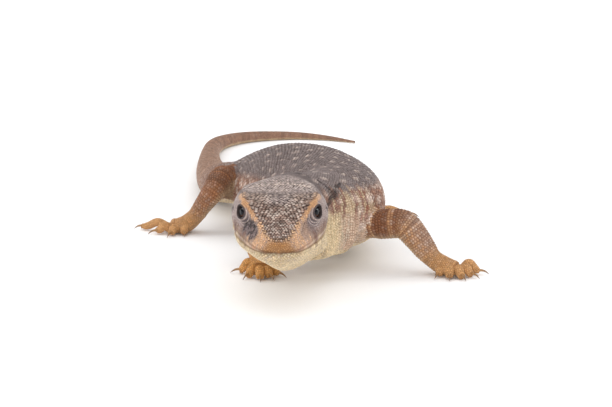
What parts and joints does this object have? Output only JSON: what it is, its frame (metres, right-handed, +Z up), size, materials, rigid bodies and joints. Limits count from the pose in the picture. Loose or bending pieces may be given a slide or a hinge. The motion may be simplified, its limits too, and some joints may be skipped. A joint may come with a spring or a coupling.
{
  "type": "savannah monitor",
  "caption": "Life-size still model of a young savannah monitor lizard, standing on its four feet with the tail curved round on the floor behind it.",
  "frame": {"origin": "on the floor, below the middle of the animal's box", "axes": "+Z up, the snout towards -Y, the animal's left side towards +X"},
  "size_m": [0.0882, 0.2232, 0.0258],
  "materials": {
    "head_skin": "dry scaled skin, grey brown above with cream lips",
    "body_skin": "dry scaled skin, grey brown with pale round spots",
    "tail_skin": "dry scaled skin, banded in tan and brown",
    "leg_skin": "dry scaled skin, orange brown with pale spots",
    "foot_skin": "dry scaled skin, golden ochre",
    "claw": "polished grey brown horn",
    "eye": "wet, near black"
  },
  "bodies": {
    "root": {"head": "head_skin", "eye_right": "eye", "eye_left": "eye", "neck": "body_skin", "trunk": "body_skin", "tail_1": "tail_skin", "tail_2": "tail_skin", "tail_3": "tail_skin", "tail_4": "tail_skin", "tail_5": "tail_skin", "left_arm_upper": "leg_skin", "left_arm_lower": "leg_skin", "left_arm_foot": "foot_skin", "left_arm_claw_1": "claw", "left_arm_claw_2": "claw", "left_arm_claw_3": "claw", "left_arm_claw_4": "claw", "left_arm_claw_5": "claw", "right_arm_upper": "leg_skin", "right_arm_lower": "leg_skin", "right_arm_foot": "foot_skin", "right_arm_claw_1": "claw", "right_arm_claw_2": "claw", "right_arm_claw_3": "claw", "right_arm_claw_4": "claw", "right_arm_claw_5": "claw", "left_leg_upper": "leg_skin", "left_leg_lower": "leg_skin", "left_leg_foot": "foot_skin", "left_leg_claw_1": "claw", "left_leg_claw_2": "claw", "left_leg_claw_3": "claw", "left_leg_claw_4": "claw", "left_leg_claw_5": "claw", "right_leg_upper": "leg_skin", "right_leg_lower": "leg_skin", "right_leg_foot": "foot_skin", "right_leg_claw_1": "claw", "right_leg_claw_2": "claw", "right_leg_claw_3": "claw", "right_leg_claw_4": "claw", "right_leg_claw_5": "claw"}
  },
  "joints": []
}
